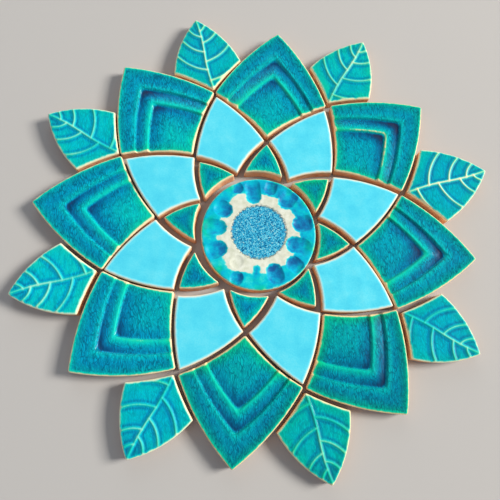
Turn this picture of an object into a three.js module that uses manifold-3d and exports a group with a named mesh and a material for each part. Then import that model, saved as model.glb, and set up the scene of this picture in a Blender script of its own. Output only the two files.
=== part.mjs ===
// A ceramic mandala: a flat rosette of glazed tiles laid side by side with open joints.
// One round tile lies in the middle, and four rings of eight lie round it: small triangles,
// plain sky-blue kites, petals with stepped chevrons, and veined leaves at the rim.
// Millimetres, +Z up, the back of every tile on z = 0, the rosette's centre at the origin.

import * as THREE from 'three';
import { ParametricGeometry } from 'three/addons/geometries/ParametricGeometry.js';
import { mergeGeometries, mergeVertices } from 'three/addons/utils/BufferGeometryUtils.js';
import Module from 'manifold-3d';

const wasm = await Module();
wasm.setup();

const TILES_PER_RING = 8;
const SECTOR = (2 * Math.PI) / TILES_PER_RING;
const THICKNESS = 8.5;
const SOFT_EDGE = 1.2; // height and width of the softened top edge
const FLARE = { centre: 0.6, triangle: 0.7 }; // how far the foot of a sloping wall stands out
const FACE_SPANS = { triangle: 3, sky: 4, leaf: 4 }; // flat facets along each side of a plain face
const WELD = 1e-3; // points nearer than this are one

// The round tile: a shallow pan in the middle, and thumb dimples in the glazed band round it.
const CENTRE = { radius: 34.3, segments: 48, lie: { x: 1.3, y: -1.1 } };
const PAN = { radius: 16.3, depth: 0.5, slope: 0.5 };
const DIMPLE_ANGLES = [20, 57, 104, 152, 179, 209, 240, 298, 325, 349];
const DIMPLE = { ring: 24.5, radius: 4.8, depth: 1.6, degrees: DIMPLE_ANGLES };
const NOTCH = { ring: 29, radius: 3.2, depth: 1.1, degrees: [82, 121, 251] };
const BALL_SIDES = 10;

// The joint round the centre tile, and the scalloped joints between the rings. A scallop is a
// pair of arcs for each tile inside it, from the shoulders that it shares with its neighbours
// to its tip. An arc bulges outwards by a share of its chord, and gap is the open width.
const CENTRE_JOINT = { radius: 36.4, gap: 3.2 };
const TRIANGLE_JOINT = { shoulder: 36.6, tip: 58.8, bulge: 0.063, gap: 2.9 };
const SKY_JOINT = { shoulder: 59.9, tip: 93.1, bulge: 0.052, gap: 1.7 };
const PETAL_JOINT = { shoulder: 95, tip: 136, bulge: 0.053, gap: 2 };

// The free outer edge of a leaf, from the corner beside the petal to the leaf's own tip. The first
// leaf was cut wider and longer than the others.
const LEAF_EDGE = { corner: 114.8, degrees: 10.9, tip: 147.5, bulge: 0.08 };
const FIRST_LEAF_EDGE = { corner: 116.5, degrees: 12.1, tip: 150, bulge: 0.075 };

// Chevrons stepped into a petal, as shares of the way from its inner to its outer edges. From
// the rim band the face drops at each step, then rises again towards the next one.
const CHEVRON = { outer: 0.775, inner: 0.61, field: 0.3, width: 0.03 };
const PETAL_DROP = { ridge: 0.5, outerFoot: 1.6, innerFoot: 1.9, heel: 0.3 };

// Raised veins of a leaf: ridges whose foot is sunk into the tile and whose ends dip under its
// face. The midrib sways to one side and back. Each side vein leaves it at root and meets the
// margin at end, both as shares of the leaf's length, and it runs nearly straight out, for bow of
// its reach, before it bends to the tip. side is 1 on the left of a leaf seen from its base.
const VEIN = { width: 1.7, height: 0.8, foot: 0.6, margin: 0.8, bow: 0.6, lead: 0.2, steps: 3 };
const MIDRIB = { sway: 0.6, shares: [0.04, 0.3, 0.7, 0.96], steps: 6 };
const SIDE_VEINS = [
  { side: 1, root: 0.27, end: 0.52 },
  { side: 1, root: 0.52, end: 0.71 },
  { side: 1, root: 0.735, end: 0.85 },
  { side: -1, root: 0.12, end: 0.2 },
  { side: -1, root: 0.385, end: 0.555 },
  { side: -1, root: 0.65, end: 0.755 },
  { side: -1, root: 0.82, end: 0.89 },
];

// How the tiles were laid by hand, ring by ring, from the +X axis round to the left: millimetres
// outwards and to the left of the even place, and degrees turned.
const LAID = {
  triangle: {
    out: [0, -0.5, 0, -0.5, -0.5, 0.5, 1, 0],
    left: [-1, -1, 0, 0.5, -1.5, -1, -0.5, -1],
    turn: [2, 0, 0, 1, 0, 0, -2, 1],
  },
  sky: {
    out: [-0.5, -0.5, -0.5, 0, 0.5, 0.5, 1, 0],
    left: [-0.5, 0, 1, 0, -1, 0.5, 0.5, -0.5],
    turn: [1, 2, -1, 0.5, 0, 1, 0, 2],
  },
  petal: {
    out: [-0.5, 1, 0, 1, 0, -1, 0.5, 1],
    left: [-0.5, 0.5, 1, 0, -1, -1, 1, 0.5],
    turn: [1, -1, 0.5, -1, 0.5, 0, 1, 1],
  },
  leaf: {
    out: [0.5, 0.5, 0, 0.5, 0, -0.5, 1, 1.5],
    left: [0, 1.5, 0, -1, -1.5, 0, 0.5, 0],
    turn: [0.5, 0, -2, 0, 0, 1, 0, 1],
  },
};

const glaze = (color, roughness) => new THREE.MeshStandardMaterial({ color, roughness, metalness: 0 });
const GLAZES = {
  centre: glaze(0x3c9fc4, 0.3),
  triangle: glaze(0x0f8286, 0.25),
  sky: glaze(0x62cdea, 0.3),
  petal: glaze(0x0a949c, 0.2),
  leaf: glaze(0x19a5b0, 0.25),
};

const AXIS = new THREE.Vector2(0, 0);
const polar = (radius, angle) => new THREE.Vector2(radius * Math.cos(angle), radius * Math.sin(angle));

// Outlines: arcs of circles, in a frame whose X axis runs out along the middle of the tile.

/** The circle through two points that bulges away from the rosette's centre. */
function circleThrough(a, b, bulge) {
  const chord = b.clone().sub(a);
  const sagitta = bulge * chord.length();
  const radius = (chord.lengthSq() / 4 + sagitta ** 2) / (2 * sagitta);
  const middle = a.clone().add(b).multiplyScalar(0.5);
  const outward = new THREE.Vector2(-chord.y, chord.x).normalize();
  outward.multiplyScalar(Math.sign(outward.dot(middle)));
  return { centre: middle.addScaledVector(outward, sagitta - radius), radius };
}

const grown = ({ centre, radius }, by) => ({ centre, radius: radius + by });
const turned = ({ centre, radius }, angle) => ({
  centre: centre.clone().rotateAround(AXIS, angle),
  radius,
});
const mirrored = ({ centre, radius }) => ({ centre: new THREE.Vector2(centre.x, -centre.y), radius });

/** Where two circles cross, at the crossing nearest to a point. */
function crossing(a, b, near) {
  const between = b.centre.clone().sub(a.centre);
  const apart = between.length();
  between.normalize();
  const along = (a.radius ** 2 - b.radius ** 2 + apart ** 2) / (2 * apart);
  const aside = Math.sqrt(a.radius ** 2 - along ** 2);
  const foot = a.centre.clone().addScaledVector(between, along);
  const normal = new THREE.Vector2(-between.y, between.x);
  const crossings = [aside, -aside].map((offset) => foot.clone().addScaledVector(normal, offset));
  return crossings.sort((p, q) => p.distanceTo(near) - q.distanceTo(near))[0];
}

/** A point a share of the way along the shorter arc of a circle between two of its points. */
function alongArc({ centre, radius }, from, to, share) {
  const start = from.clone().sub(centre).angle();
  let sweep = to.clone().sub(centre).angle() - start;
  sweep -= 2 * Math.PI * Math.round(sweep / (2 * Math.PI));
  return polar(radius, start + sweep * share).add(centre);
}

/** The right-hand arc of a scalloped joint, as a circle. */
const scallop = ({ shoulder, tip, bulge }) =>
  circleThrough(polar(shoulder, -SECTOR / 2), polar(tip, 0), bulge);

/** The outline of a tile from the circles of its right inner and right outer edges. */
function outlineOf(innerRight, outerRight, inner) {
  const right = crossing(innerRight, outerRight, outerRight.corner);
  const tip = crossing(outerRight, mirrored(outerRight), outerRight.tip);
  const left = new THREE.Vector2(right.x, -right.y);
  const edge = (circle, from, to) => (share) => alongArc(circle, from, to, share);
  return {
    corners: { inner, right, tip, left },
    innerRight: edge(innerRight, inner, right),
    outerRight: edge(outerRight, right, tip),
    innerLeft: edge(mirrored(innerRight), inner, left),
    outerLeft: edge(mirrored(outerRight), left, tip),
  };
}

/** The outer edge of the tiles inside a scalloped joint, moved out by flare. */
function insideOf(joint, flare = 0) {
  const circle = grown(scallop(joint), flare - joint.gap / 2);
  return { ...circle, corner: polar(joint.shoulder, -SECTOR / 2), tip: polar(joint.tip, 0) };
}

/** The inner edge of the tiles outside a scalloped joint, half a sector on. */
const outsideOf = (joint) => turned(mirrored(grown(scallop(joint), joint.gap / 2)), -SECTOR / 2);

/** The outline of a tile that lies between two scalloped joints, or has an outer edge of its own. */
function kiteOutline(innerJoint, outerEdge) {
  const innerRight = outsideOf(innerJoint);
  const inner = crossing(innerRight, mirrored(innerRight), polar(innerJoint.shoulder, 0));
  return outlineOf(innerRight, outerEdge, inner);
}

/** The outline of a triangle, moved out on every side by flare. */
function triangleOutline(flare = 0) {
  const base = { centre: AXIS, radius: CENTRE_JOINT.radius + CENTRE_JOINT.gap / 2 - flare };
  return outlineOf(base, insideOf(TRIANGLE_JOINT, flare), polar(base.radius, 0));
}

/** The right-hand outer edge of a leaf, as a circle. */
function leafEdge(edge) {
  const corner = polar(edge.corner, -THREE.MathUtils.degToRad(edge.degrees));
  const tip = polar(edge.tip, 0);
  return { ...circleThrough(corner, tip, edge.bulge), corner, tip };
}

// Solids: a face spread between the four edges, side walls down to the back, and the flat back.

/** A point of the face: s runs from the inner left to the outer right edge, t likewise mirrored. */
function facePoint(outline, s, t) {
  const { inner, right, tip, left } = outline.corners;
  return new THREE.Vector2()
    .addScaledVector(outline.innerRight(s), 1 - t)
    .addScaledVector(outline.outerLeft(s), t)
    .addScaledVector(outline.innerLeft(t), 1 - s)
    .addScaledVector(outline.outerRight(t), s)
    .addScaledVector(inner, -(1 - s) * (1 - t))
    .addScaledVector(right, -s * (1 - t))
    .addScaledVector(left, -(1 - s) * t)
    .addScaledVector(tip, -s * t);
}

/** The value a share of the way through a list, straight between its members. */
function through(list, share) {
  const place = THREE.MathUtils.clamp(share, 0, 1) * (list.length - 1);
  const before = Math.min(Math.floor(place), list.length - 2);
  return THREE.MathUtils.lerp(list[before], list[before + 1], place - before);
}

function facingBack(geometry) {
  geometry.index.array.reverse();
  return geometry;
}

/** One closed, welded skin from several pieces, with only positions kept. */
function welded(...pieces) {
  const bare = pieces.map((piece) => {
    piece.deleteAttribute('normal');
    piece.deleteAttribute('uv');
    return piece;
  });
  return mergeVertices(mergeGeometries(bare), WELD);
}

/** The points round an outline where the crease lines of the face meet it. */
function rimOf(outline, lines) {
  const rounds = [
    (share) => outline.innerRight(share),
    (share) => outline.outerRight(share),
    (share) => outline.outerLeft(1 - share),
    (share) => outline.innerLeft(1 - share),
  ];
  const closing = lines.map((line) => 1 - line).reverse();
  return rounds.flatMap((edge, index) =>
    (index < 2 ? lines : closing).slice(0, -1).map((line) => edge(line)),
  );
}

/**
 * A tile's solid: lines are the shares at which its face is creased, dropAt its carved depth, and
 * foot the outline of its back.
 */
function tileGeometry(outline, lines, dropAt, foot = outline) {
  const spans = lines.length - 1;
  const onEdge = (share) => share <= 0 || share >= 1;
  const face = new ParametricGeometry(
    (u, v, target) => {
      const s = through(lines, u);
      const t = through(lines, 1 - v);
      const { x, y } = facePoint(outline, s, t);
      const drop = onEdge(s) || onEdge(t) ? SOFT_EDGE : dropAt(s, t);
      target.set(x, y, THICKNESS - drop);
    },
    spans,
    spans,
  );
  const rim = rimOf(outline, lines);
  const sole = rimOf(foot, lines);
  const walls = new ParametricGeometry(
    (u, v, target) => {
      const place = Math.round(u * rim.length) % rim.length;
      const { x, y } = sole[place].clone().lerp(rim[place], v);
      target.set(x, y, v * (THICKNESS - SOFT_EDGE));
    },
    rim.length,
    1,
  );
  const back = new THREE.ShapeGeometry(new THREE.Shape(sole));
  return welded(facingBack(face), walls, facingBack(back));
}

/** Crease lines for a plain face: the softened edge, and even spans between. */
function evenLines(outline, spans) {
  const soft = SOFT_EDGE / outline.corners.tip.distanceTo(outline.corners.right);
  const inside = Array.from({ length: spans - 1 }, (_, index) => (index + 1) / spans);
  return [0, soft, ...inside, 1 - soft, 1];
}

// Cutting and joining.

function toSolid(geometry) {
  const skin = welded(geometry);
  const triVerts = new Uint32Array(skin.index.array);
  const vertProperties = new Float32Array(skin.attributes.position.array);
  return new wasm.Manifold(new wasm.Mesh({ numProp: 3, vertProperties, triVerts }));
}

function toGeometry(solid) {
  const { vertProperties, triVerts } = solid.getMesh();
  const geometry = new THREE.BufferGeometry();
  geometry.setAttribute('position', new THREE.BufferAttribute(vertProperties, 3));
  geometry.setIndex(new THREE.BufferAttribute(triVerts, 1));
  return geometry;
}

// The five kinds of tile.

/** A hollow pressed into the centre tile: a ball that sinks into the face to the given depth. */
function hollow({ ring, radius, depth }, degrees) {
  const ball = (radius ** 2 + depth ** 2) / (2 * depth);
  const place = polar(ring, THREE.MathUtils.degToRad(degrees));
  return new THREE.SphereGeometry(ball, BALL_SIDES, BALL_SIDES)
    .rotateX(Math.PI / 2)
    .translate(place.x, place.y, THICKNESS - depth + ball);
}

function centreGeometry() {
  const profile = [
    [0, 0],
    [CENTRE.radius + FLARE.centre, 0],
    [CENTRE.radius, THICKNESS - SOFT_EDGE],
    [CENTRE.radius - SOFT_EDGE, THICKNESS],
    [PAN.radius, THICKNESS],
    [PAN.radius - PAN.slope, THICKNESS - PAN.depth],
    [0, THICKNESS - PAN.depth],
  ].map(([x, y]) => new THREE.Vector2(x, y));
  const blank = new THREE.LatheGeometry(profile, CENTRE.segments).rotateX(Math.PI / 2);
  const presses = [DIMPLE, NOTCH].flatMap((press) => press.degrees.map((angle) => hollow(press, angle)));
  return toGeometry(presses.reduce((solid, press) => solid.subtract(toSolid(press)), toSolid(blank)));
}

function triangleGeometry() {
  const outline = triangleOutline();
  const lines = evenLines(outline, FACE_SPANS.triangle);
  return { outline, geometry: tileGeometry(outline, lines, () => 0, triangleOutline(FLARE.triangle)) };
}

function skyGeometry() {
  const outline = kiteOutline(TRIANGLE_JOINT, insideOf(SKY_JOINT));
  return { outline, geometry: tileGeometry(outline, evenLines(outline, FACE_SPANS.sky), () => 0) };
}

function petalGeometry() {
  const outline = kiteOutline(SKY_JOINT, insideOf(PETAL_JOINT));
  const soft = evenLines(outline, 1)[1];
  const half = CHEVRON.width / 2;
  const steps = [CHEVRON.inner - half, CHEVRON.inner + half, CHEVRON.outer - half, CHEVRON.outer + half];
  const { heel, innerFoot, ridge, outerFoot } = PETAL_DROP;
  const shares = [0, ...steps, 1];
  const drops = [heel, innerFoot, ridge, outerFoot, 0, 0];
  const dropAt = (s, t) => {
    const share = Math.max(s, t);
    const span = Math.max(1, shares.findIndex((limit) => share <= limit + WELD));
    return THREE.MathUtils.mapLinear(share, shares[span - 1], shares[span], drops[span - 1], drops[span]);
  };
  const lines = [0, soft, CHEVRON.field, ...steps, 1 - soft, 1];
  return { outline, geometry: tileGeometry(outline, lines, dropAt) };
}

/** A raised vein: a three-sided ridge along a curve on the face. */
function vein(path, steps) {
  const { width, height, foot } = VEIN;
  const section = new THREE.Shape([
    new THREE.Vector2(foot, -width / 2),
    new THREE.Vector2(foot, width / 2),
    new THREE.Vector2(-height, 0),
  ]);
  return toSolid(new THREE.ExtrudeGeometry(section, { steps, extrudePath: path, bevelEnabled: false }));
}

/** Half the width of a leaf at a place along its axis. */
function halfWidth(outline, x) {
  const { inner, right, tip } = outline.corners;
  const past = x > right.x;
  const edge = past ? outline.outerRight : outline.innerRight;
  const [from, to] = past ? [right.x, tip.x] : [inner.x, right.x];
  return -edge((x - from) / (to - from)).y;
}

function leafGeometry(edge) {
  const outline = kiteOutline(PETAL_JOINT, leafEdge(edge));
  const { inner, tip } = outline.corners;
  const along = (share) => THREE.MathUtils.lerp(inner.x, tip.x, share);
  const onFace = (x, y, sunk = 0) => new THREE.Vector3(x, y, THICKNESS - sunk);
  const { margin, height, bow, lead, steps } = VEIN;
  const [base, lower, upper, apex] = MIDRIB.shares.map(along);
  const midrib = new THREE.CatmullRomCurve3([
    onFace(base, 0, height),
    onFace(lower, MIDRIB.sway),
    onFace(upper, -MIDRIB.sway),
    onFace(apex, 0, height),
  ]);
  const veins = SIDE_VEINS.map(({ side, root, end }) => {
    const reach = side * (halfWidth(outline, along(end)) - margin);
    const bend = onFace(along(THREE.MathUtils.lerp(root, end, lead)), reach * bow);
    return new THREE.QuadraticBezierCurve3(onFace(along(root), 0), bend, onFace(along(end), reach, height));
  });
  const body = toSolid(tileGeometry(outline, evenLines(outline, FACE_SPANS.leaf), () => 0));
  const ribbed = body.add(vein(midrib, MIDRIB.steps));
  const solid = veins.reduce((sum, path) => sum.add(vein(path, steps)), ribbed);
  return { outline, geometry: toGeometry(solid) };
}

// Laying the rosette.

/** A tile with its geometry about the middle of its axis, and how far out that middle lies. */
function centred({ outline, geometry }) {
  const middle = (outline.corners.inner.x + outline.corners.tip.x) / 2;
  return { middle, geometry: geometry.translate(-middle, 0, 0) };
}

/** Eight tiles round the centre, each turned about its own middle; the first may be another. */
function ring(name, tile, firstAngle, firstTile = tile) {
  const { out, left, turn } = LAID[name];
  const group = new THREE.Group();
  for (let index = 0; index < TILES_PER_RING; index += 1) {
    const { middle, geometry } = index === 0 ? firstTile : tile;
    const angle = firstAngle + index * SECTOR;
    const place = polar(middle + out[index], angle).add(polar(left[index], angle + Math.PI / 2));
    const laid = new THREE.Mesh(geometry, GLAZES[name]);
    laid.name = `${name}_${index + 1}`;
    laid.position.set(place.x, place.y, 0);
    laid.rotation.z = angle + THREE.MathUtils.degToRad(turn[index]);
    group.add(laid);
  }
  return group;
}

const centreTile = new THREE.Mesh(centreGeometry(), GLAZES.centre);
centreTile.name = 'centre_tile';
centreTile.position.set(CENTRE.lie.x, CENTRE.lie.y, 0);

const mandala = new THREE.Group();
mandala.add(
  centreTile,
  ring('triangle', centred(triangleGeometry()), 0),
  ring('sky', centred(skyGeometry()), SECTOR / 2),
  ring('petal', centred(petalGeometry()), 0),
  ring('leaf', centred(leafGeometry(LEAF_EDGE)), SECTOR / 2, centred(leafGeometry(FIRST_LEAF_EDGE))),
);

export default mandala;
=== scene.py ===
"""Looks of a ceramic mandala: glazed tiles laid dry as a flat flower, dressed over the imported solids.

Sizes are in millimetres, as a tile maker reads them, and become metres where a mesh is made.
"""

import logging
import math
from dataclasses import dataclass
from enum import Enum

import bpy
import numpy as np
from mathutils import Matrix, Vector


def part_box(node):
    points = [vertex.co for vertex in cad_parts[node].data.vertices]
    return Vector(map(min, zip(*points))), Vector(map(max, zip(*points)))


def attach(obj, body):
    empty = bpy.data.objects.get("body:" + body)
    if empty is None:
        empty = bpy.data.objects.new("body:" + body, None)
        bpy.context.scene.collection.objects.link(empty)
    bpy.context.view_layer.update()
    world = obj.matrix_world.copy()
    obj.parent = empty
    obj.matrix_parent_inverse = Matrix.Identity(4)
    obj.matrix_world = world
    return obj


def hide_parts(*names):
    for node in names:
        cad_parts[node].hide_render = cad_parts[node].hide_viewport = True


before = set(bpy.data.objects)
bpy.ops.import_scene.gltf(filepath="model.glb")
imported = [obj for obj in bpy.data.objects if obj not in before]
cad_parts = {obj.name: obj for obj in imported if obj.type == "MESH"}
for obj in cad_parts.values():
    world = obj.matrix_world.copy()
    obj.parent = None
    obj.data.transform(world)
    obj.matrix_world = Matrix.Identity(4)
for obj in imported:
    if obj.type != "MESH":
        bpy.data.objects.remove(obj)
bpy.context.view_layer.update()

LOG = logging.getLogger("mandala")
MM = 0.001
TILES_PER_RING = 8

# A solid's back is what lies lower than this.
BACK_LEVEL = 0.01
# An outline that turns by more than this from one side to the next has a corner there.
CORNER_TURN = 0.4
# Half the opening of the widest corner that is rounded.
SHARP_HALF = math.radians(75)
# Unevenness is a sum of so many waves, each somewhat slower or quicker than the mean, times a gain.
WAVE_COUNT = 5
WAVE_PACE = (0.6, 1.6)
WAVE_GAIN = 1.6

Colour = tuple[float, float, float, float]
Point = tuple[float, float, float]
# The two ends of a soft step, or the size of something uneven and its strength.
Pair = tuple[float, float]
# A ramp's places from 0 to 1, with their web colours.
Stops = tuple[tuple[float, str], ...]


class Mark(Enum):
    """What a tile's mesh tells its finish, point by point."""

    PLACE = "place"  # millimetres in the rosette's frame, apart in height from other tiles
    RIM = "rim"  # millimetres in from the outline, negative below the shoulder
    # On petals and leaves the glaze's thickness also carries painted shade: on flanks that face one way, and
    # beside the veins.
    GLAZE = "glaze"  # thickness of the glaze, 0 where it breaks to 1 where it pools
    RAISED = "raised"  # 0 on the face, 1 on the back of a vein
    BARE = "bare"  # 1 where the pale slip was left without glaze
    GRAIN = "grain"  # 1 in the grainy pan
    # On the petals this tint is partly painted light: darker and greener towards the lower right, lighter
    # and bluer on the left.
    FIRED = "fired"  # how the kiln left the whole tile, 0 blue to 1 warmer with greener edges


class Blend(Enum):
    """How two colours are mixed."""

    COVER = "MIX"
    TINT = "MULTIPLY"


class Detail(Enum):
    """How many octaves of finer detail a noise has."""

    SOFT = 2.0
    ROUGH = 3.0
    CRISP = 4.0


def tone(code: str) -> Colour:
    """A colour in linear light, by the sRGB curve.

    Args:
        code: The colour as a web code, such as "#04a0b0".

    Returns:
        Red, green, blue and full cover.
    """
    shares = [int(code[place:place + 2], 16) / 255 for place in (1, 3, 5)]
    linear = [c / 12.92 if c <= 0.04045 else ((c + 0.055) / 1.055) ** 2.4 for c in shares]
    return (*linear, 1.0)


def smooth(low: float, high: float, values: np.ndarray) -> np.ndarray:
    """A soft step over an array.

    Args:
        low: Where the step begins.
        high: Where it ends; below low for a step down.
        values: What is stepped.

    Returns:
        0 before the step, 1 past it.
    """
    share = np.clip((values - low) / (high - low), 0, 1)
    return share * share * (3 - 2 * share)


def hump(values: np.ndarray, width: np.ndarray | float, height: np.ndarray | float = 1.0) -> np.ndarray:
    """A soft hump over an array.

    Args:
        values: How far from its middle each place lies.
        width: How far out it falls to about a third.
        height: How high it is in the middle.

    Returns:
        Its height at each place.
    """
    return height * np.exp(-((values / width) ** 2))


class Signal:
    """A node's output, open to plain arithmetic: each operation on it adds one Math node."""

    def __init__(self, recipe: "Recipe", socket: bpy.types.NodeSocket) -> None:
        """Keeps the socket and the recipe that it is part of."""
        self.recipe = recipe
        self.socket = socket

    def math(self, operation: str, *terms: "Signal | float") -> "Signal":
        """One Math node on some terms, in their order."""
        return self.recipe.node("ShaderNodeMath", {"operation": operation}, dict(enumerate(terms)))

    def __add__(self, other: "Signal | float") -> "Signal":
        """The sum."""
        return self.math("ADD", self, other)

    def __radd__(self, other: float) -> "Signal":
        """The sum, with a number first."""
        return self.math("ADD", other, self)

    def __sub__(self, other: "Signal | float") -> "Signal":
        """The difference."""
        return self.math("SUBTRACT", self, other)

    def __rsub__(self, other: float) -> "Signal":
        """The difference, with a number first."""
        return self.math("SUBTRACT", other, self)

    def __mul__(self, other: "Signal | float") -> "Signal":
        """The product."""
        return self.math("MULTIPLY", self, other)

    def __rmul__(self, other: float) -> "Signal":
        """The product, with a number first."""
        return self.math("MULTIPLY", other, self)

    def smooth(self, low: float, high: float) -> "Signal":
        """A soft step.

        Args:
            low: Where the step begins.
            high: Where it ends; below low for a step down.

        Returns:
            0 before the step, 1 past it.
        """
        ends = {"From Min": low, "From Max": high}
        settings = {"interpolation_type": "SMOOTHSTEP"}
        if high > low:
            return self.recipe.node("ShaderNodeMapRange", settings, {"Value": self, **ends})
        return 1 - self.smooth(high, low)


class Recipe:
    """The nodes of one material."""

    def __init__(self, name: str, sheen: float = 0.5) -> None:
        """Starts an empty material.

        Args:
            name: The material's name.
            sheen: How much of a mirror its surface is.
        """
        self.sheen = sheen
        self.material = bpy.data.materials.new(name)
        self.material.use_nodes = True
        self.tree = self.material.node_tree
        self.tree.nodes.clear()

    def node(self, kind: str, settings: dict | None = None, sockets: dict | None = None,
             result: int | str = 0) -> Signal:
        """Adds a node, as in add, and gives one of its outputs, by name or number."""
        return Signal(self, self.add(kind, settings, sockets).outputs[result])

    def add(self, kind: str, settings: dict | None, sockets: dict | None) -> bpy.types.Node:
        """Adds a node.

        Args:
            kind: The node's type.
            settings: Its properties, set first; "stops" are a ramp's places and colours.
            sockets: The value or link of each input, by name or number.

        Returns:
            The node.
        """
        made = self.tree.nodes.new(kind)
        for name, value in (settings or {}).items():
            if name == "stops":
                self.set_stops(made.color_ramp, value)
            else:
                setattr(made, name, value)
        for name, value in (sockets or {}).items():
            if isinstance(value, Signal):
                self.tree.links.new(value.socket, made.inputs[name])
            else:
                made.inputs[name].default_value = value
        return made

    @staticmethod
    def set_stops(ramp: bpy.types.ColorRamp, stops: Stops) -> None:
        """Sets a ramp's stops.

        Args:
            ramp: The ramp, with its two first stops.
            stops: Places from 0 to 1 with their web colours, in order.
        """
        while len(ramp.elements) < len(stops):
            ramp.elements.new(1.0)
        for element, (place, code) in zip(ramp.elements, stops, strict=True):
            element.position = place
            element.color = tone(code)

    def value(self, mark: Mark) -> Signal:
        """A number that the mesh carries."""
        return self.node("ShaderNodeAttribute", {"attribute_name": mark.value}, result="Fac")

    def vector(self, mark: Mark) -> Signal:
        """A vector that the mesh carries."""
        return self.node("ShaderNodeAttribute", {"attribute_name": mark.value}, result="Vector")

    def drawn_out(self, place: Signal, lean: float, times: float) -> Signal:
        """A place seen so that patterns are drawn out.

        Args:
            place: The place.
            lean: The way they are drawn out, turned from +Y.
            times: How many times as long they get.

        Returns:
            The place in which the pattern is laid.
        """
        sockets = {"Vector": place, "Rotation": (0.0, 0.0, lean), "Scale": (1.0, times, 1.0)}
        return self.node("ShaderNodeMapping", {"vector_type": "TEXTURE"}, sockets)

    def shaken(self, place: Signal, size: float, amount: float) -> Signal:
        """A place pushed about by soft noise.

        Args:
            place: The place, in millimetres.
            size: The noise's size, in millimetres.
            amount: The mean push along each axis, in millimetres.

        Returns:
            The place after the push.
        """
        noise = self.node("ShaderNodeTexNoise", None, {"Vector": place, "Scale": 1 / size}, "Color")
        sockets = {0: noise, 1: (2 * amount,) * 3, 2: place}
        return self.node("ShaderNodeVectorMath", {"operation": "MULTIPLY_ADD"}, sockets)

    def noise(self, place: Signal, size: float, detail: Detail = Detail.SOFT) -> Signal:
        """Soft noise from 0 to 1, of a size in millimetres."""
        sockets = {"Vector": place, "Scale": 1 / size, "Detail": detail.value}
        return self.node("ShaderNodeTexNoise", None, sockets, "Fac")

    def unrest(self, place: Signal, size: float, detail: Detail = Detail.SOFT) -> Signal:
        """The same noise, evenly about 0."""
        return self.noise(place, size, detail) - 0.5

    def cracks(self, place: Signal, size: float) -> Signal:
        """Distance to the nearest edge between cells of a size in millimetres, as a share of it."""
        sockets = {"Vector": place, "Scale": 1 / size}
        return self.node("ShaderNodeTexVoronoi", {"feature": "DISTANCE_TO_EDGE"}, sockets, "Distance")

    def specks(self, place: Signal, size: float) -> Signal:
        """A number from 0 to 1 for each cell of a size in millimetres."""
        colour = self.node("ShaderNodeTexVoronoi", None, {"Vector": place, "Scale": 1 / size}, "Color")
        return self.node("ShaderNodeSeparateColor", None, {0: colour})

    def ramp(self, share: Signal, stops: Stops) -> Signal:
        """A colour picked along a ramp by a share."""
        return self.node("ShaderNodeValToRGB", {"stops": stops}, {0: share}, "Color")

    def mix(self, share: Signal | float, first: Signal | Colour, second: Signal | Colour,
            blend: Blend = Blend.COVER) -> Signal:
        """Two colours mixed.

        Args:
            share: How much of the second there is.
            first: The colour below.
            second: The colour laid on it.
            blend: How it is laid on.

        Returns:
            The mixed colour.
        """
        settings = {"data_type": "RGBA", "blend_type": blend.value}
        # The node has one set of sockets for each type of data; these are the colours'.
        share_in, first_in, second_in, mixed_out = 0, 6, 7, 2
        sockets = {share_in: share, first_in: first, second_in: second}
        return self.node("ShaderNodeMix", settings, sockets, mixed_out)

    def finished(self, colour: Signal, roughness: Signal, height: Signal) -> bpy.types.Material:
        """Closes the recipe with its surface.

        Args:
            colour: Colour of the surface.
            roughness: Its roughness.
            height: Its fine relief, in millimetres.

        Returns:
            The material.
        """
        bump = self.node("ShaderNodeBump", None, {"Height": height, "Distance": MM, "Strength": 1.0})
        sockets = {
            "Base Color": colour,
            "Roughness": roughness,
            "Normal": bump,
            "Specular IOR Level": self.sheen,
        }
        self.end_at(self.node("ShaderNodeBsdfPrincipled", None, sockets))
        return self.material

    def end_at(self, surface: Signal) -> None:
        """Ends the material at a surface."""
        self.add("ShaderNodeOutputMaterial", None, {"Surface": surface})


@dataclass(frozen=True)
class Coat:
    """What a finish gives to one layer of a tile: its colour, roughness and fine relief."""

    colour: Signal
    roughness: Signal
    height: Signal


@dataclass(frozen=True)
class Clay:
    """The fired, unglazed body of a tile, seen on its walls and back."""

    body: Stops = (
        (0.25, "#c98f6a"),
        (0.45, "#dfab84"),
        (0.6, "#e9c09a"),
        (0.8, "#f2d8b6"),
    )
    blush: float = 5.0
    blush_share: float = 0.7
    sand: float = 0.45
    sand_share: float = 0.3
    sand_height: float = 0.08
    sand_rough: float = 0.2
    roughness: float = 0.82

    def coat(self, recipe: Recipe, place: Signal) -> Coat:
        """The clay's look.

        Args:
            recipe: The material being made.
            place: Millimetres in the rosette's frame.

        Returns:
            The clay as a layer.
        """
        sand = recipe.noise(place, self.sand, Detail.ROUGH)
        blush = recipe.noise(place, self.blush, Detail.CRISP)
        colour = recipe.ramp(blush * self.blush_share + sand * self.sand_share, self.body)
        rough = self.roughness + (sand - 0.5) * self.sand_rough
        return Coat(colour, rough, sand * self.sand_height)


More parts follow.
